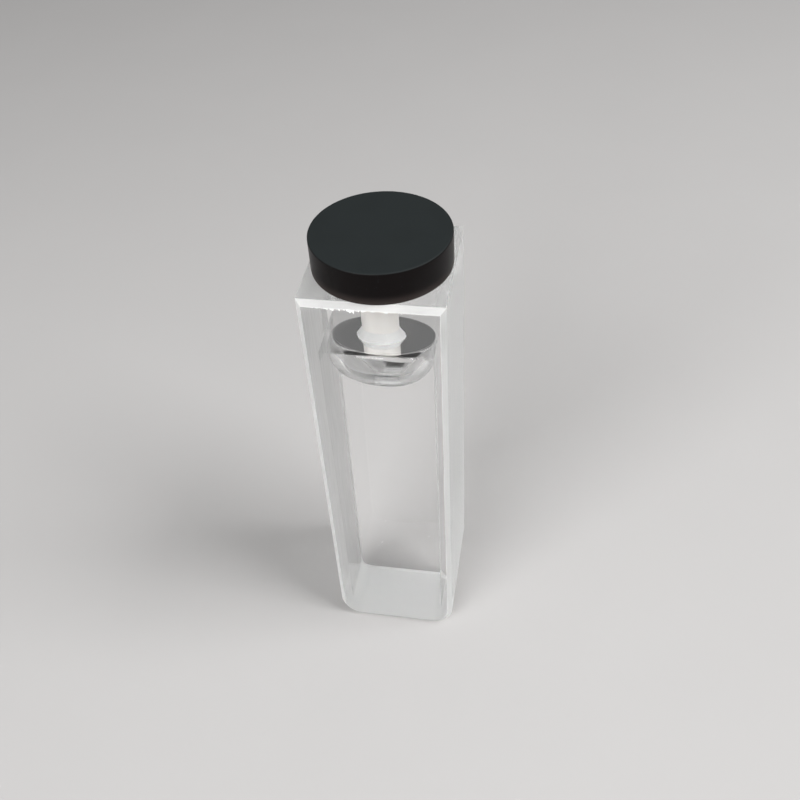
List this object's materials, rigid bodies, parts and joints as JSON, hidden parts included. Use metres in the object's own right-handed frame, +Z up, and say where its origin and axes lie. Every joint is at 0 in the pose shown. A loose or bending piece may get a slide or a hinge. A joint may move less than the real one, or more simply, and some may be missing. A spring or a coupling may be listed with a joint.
{
  "type": "cuvette",
  "caption": "Sealed square quartz cuvette with clear windows, ground sides, a liquid filling with an air bubble, a white stem and a round black cap.",
  "frame": {"origin": "middle of the base, on the surface that the cell stands on", "axes": "+X across the windows, +Y from the front window to the rear window along the light path, +Z up to the cap"},
  "size_m": [0.0126, 0.0126, 0.0481],
  "materials": {
    "clear_quartz": "polished fused quartz, clear and colourless",
    "ground_quartz": "fused quartz, clear inside and fine ground on its outer faces",
    "white_stem": "white fluoropolymer rod, smooth and slightly waxy",
    "black_cap": "black plastic with a fine matte top",
    "clear_liquid": "clear colourless liquid"
  },
  "bodies": {
    "root": {"side_frame": "ground_quartz", "front_window": "clear_quartz", "rear_window": "clear_quartz", "top_block": "clear_quartz", "stem": "white_stem", "cap": "black_cap", "liquid": "clear_liquid"}
  },
  "joints": []
}
